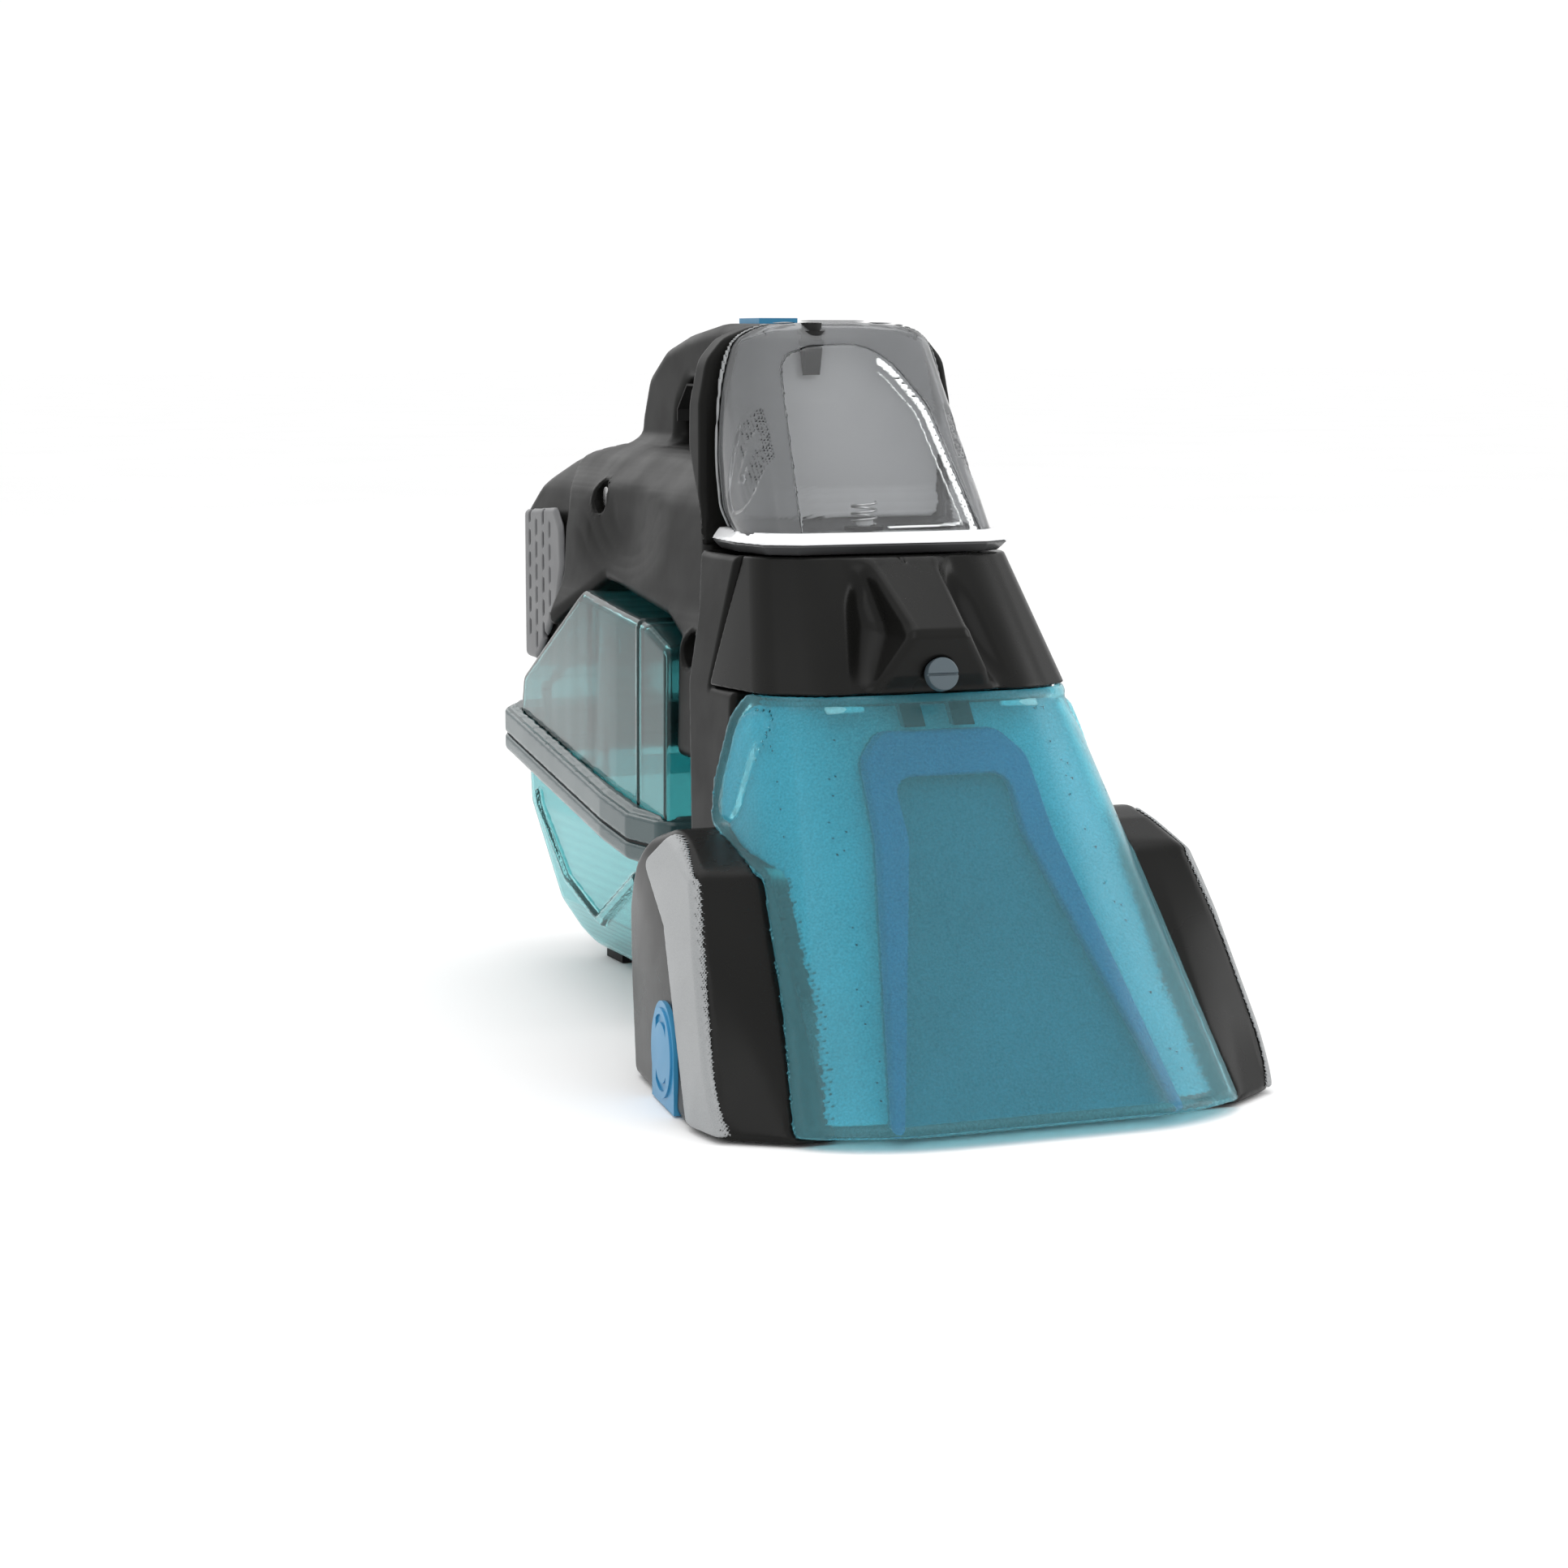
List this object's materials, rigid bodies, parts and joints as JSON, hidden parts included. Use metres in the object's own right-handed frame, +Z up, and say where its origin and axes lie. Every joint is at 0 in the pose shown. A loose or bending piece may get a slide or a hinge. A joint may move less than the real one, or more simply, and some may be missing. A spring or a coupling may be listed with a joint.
{
  "type": "carpet cleaner machine",
  "caption": "Cordless handheld spot cleaner: clear clean-water tank over a clear suction nozzle, powered brush, dirty-water tank under the motor body and a top handle with trigger.",
  "frame": {"origin": "middle of the bounding box's footprint, on the floor", "axes": "+Z up, +Y from the nozzle's lip to the rear cover, +X to the right of a person looking at the nozzle's front face along +Y"},
  "size_m": [0.2168, 0.432, 0.2716],
  "materials": {
    "black_plastic": "fine satin moulded texture",
    "black_gloss": "gloss",
    "dark_rubber": "matt",
    "clear_smoke": "clear smoke-grey polycarbonate",
    "silver_bezel": "satin silver paint",
    "teal_frost": "frosted translucent",
    "teal_clear": "clear tinted polycarbonate",
    "blue_channel": "tinted translucent",
    "blue_plastic": "satin",
    "grey_trim": "satin pearl paint",
    "grey_plastic": "fine moulded texture",
    "tip_grey": "satin",
    "steel": "brushed",
    "motor_can": "zinc plated",
    "board_green": "solder resist",
    "cell_wrap": "shrink wrap",
    "nylon": "nylon",
    "white_tube": "silicone",
    "bristle_blue": "nylon"
  },
  "bodies": {
    "machine": {"front_housing": "black_plastic", "front_frame": "black_plastic", "suction_duct": "teal_clear", "inlet_seal": "dark_rubber", "spray_tip": "tip_grey", "housing_left": "black_plastic", "housing_right": "black_plastic", "grip_pad": "dark_rubber", "rear_vent_cover": "grey_plastic", "button_spring": "steel", "power_switch": "black_gloss", "trigger_pin": "steel", "trigger_spring": "steel", "spray_switch": "black_gloss", "fan_motor": "motor_can", "motor_mount": "dark_rubber", "fan_scroll": "nylon", "battery_cells": "cell_wrap", "circuit_board": "board_green", "charging_inlet": "steel", "solution_pump": "motor_can", "supply_tube": "white_tube", "spray_tube": "white_tube", "housing_screws": "steel", "brush_housing": "black_plastic", "trim_left": "grey_trim", "trim_right": "grey_trim", "end_plate": "blue_plastic", "brush_bearings": "steel", "brush_motor": "motor_can", "drive_belt": "dark_rubber"},
    "nozzle_unit": {"suction_nozzle": "teal_frost", "nozzle_channel": "blue_channel", "nozzle_seal": "dark_rubber", "nozzle_latch_tabs": "black_plastic"},
    "clean_tank_unit": {"clean_tank": "clear_smoke", "tank_bezel": "silver_bezel", "duckbill_valve": "dark_rubber", "outlet_seat": "black_plastic", "outlet_spring": "steel"},
    "outlet_valve_unit": {"outlet_plunger": "nylon"},
    "filler_unit": {"fill_cap": "dark_rubber"},
    "dirty_tank_unit": {"dirty_tank_lid": "teal_clear", "dirty_tank_bowl": "teal_clear", "tank_gasket": "dark_rubber", "tank_feet": "dark_rubber", "float_cage": "teal_clear", "tank_baffle": "teal_clear"},
    "float_unit": {"float": "nylon"},
    "latch_unit": {"tank_latch": "black_plastic"},
    "button_unit": {"power_button": "blue_plastic"},
    "trigger_unit": {"trigger": "black_gloss"},
    "dial_unit": {"lock_dial": "blue_plastic"},
    "impeller_unit": {"impeller": "nylon"},
    "brush_unit": {"brush_core": "nylon", "brush_tufts": "bristle_blue", "brush_pulley": "nylon"},
    "drive_unit": {"motor_pulley": "nylon"}
  },
  "joints": [
    {"name": "nozzle_pull", "type": "slide", "parent": "machine", "child": "nozzle_unit", "axis": [0, -1, 0], "range_m": [0, 0.06]},
    {"name": "clean_tank_lift", "type": "slide", "parent": "machine", "child": "clean_tank_unit", "axis": [0, 0, 1], "range_m": [0, 0.08]},
    {"name": "outlet_valve_open", "type": "slide", "parent": "clean_tank_unit", "child": "outlet_valve_unit", "axis": [0, 0, 1], "range_m": [0, 0.003], "stiffness_N_per_m": 150, "springref_m": -0.001},
    {"name": "filler_cap_turn", "type": "hinge", "parent": "clean_tank_unit", "child": "filler_unit", "pos_m": [0.026, -0.05, 0.193], "axis": [0, 0, -1], "range_deg": [0, 90]},
    {"name": "dirty_tank_release", "type": "slide", "parent": "machine", "child": "dirty_tank_unit", "axis": [0, 0.7071, -0.7071], "range_m": [0, 0.06]},
    {"name": "float_rise", "type": "slide", "parent": "dirty_tank_unit", "child": "float_unit", "axis": [0, 0, 1], "range_m": [0, 0.024]},
    {"name": "tank_latch_press", "type": "hinge", "parent": "dirty_tank_unit", "child": "latch_unit", "pos_m": [0, 0.207, 0.1087], "axis": [-1, 0, 0], "range_deg": [0, 10], "stiffness_Nm_per_rad": 0.2, "springref_deg": -2.86},
    {"name": "power_button_press", "type": "slide", "parent": "machine", "child": "button_unit", "axis": [0, 0, -1], "range_m": [0, 0.0012], "stiffness_N_per_m": 400, "springref_m": -0.001, "deforming": ["button_spring"]},
    {"name": "trigger_pull", "type": "hinge", "parent": "machine", "child": "trigger_unit", "pos_m": [0, 0.036, 0.251], "axis": [-1, 0, 0], "range_deg": [0, 10], "stiffness_Nm_per_rad": 0.3, "springref_deg": -5.73, "deforming": ["trigger_spring"]},
    {"name": "lock_dial_turn", "type": "hinge", "parent": "machine", "child": "dial_unit", "pos_m": [-0.10204, -0.119, 0.019], "axis": [-0.9903, 0.1392, 0], "range_deg": [0, 90]},
    {"name": "impeller_spin", "type": "hinge", "parent": "machine", "child": "impeller_unit", "pos_m": [0, 0.084, 0.1925], "axis": [0, 1, 0], "continuous": true},
    {"name": "brush_spin", "type": "hinge", "parent": "machine", "child": "brush_unit", "pos_m": [0, -0.119, 0.021], "axis": [1, 0, 0], "continuous": true},
    {"name": "drive_pulley_spin", "type": "hinge", "parent": "machine", "child": "drive_unit", "pos_m": [0.04, -0.079, 0.043], "axis": [1, 0, 0], "continuous": true}
  ],
  "couplings": [
    {"joint": "drive_pulley_spin", "follows": "brush_spin", "ratio": 1.5714}
  ]
}
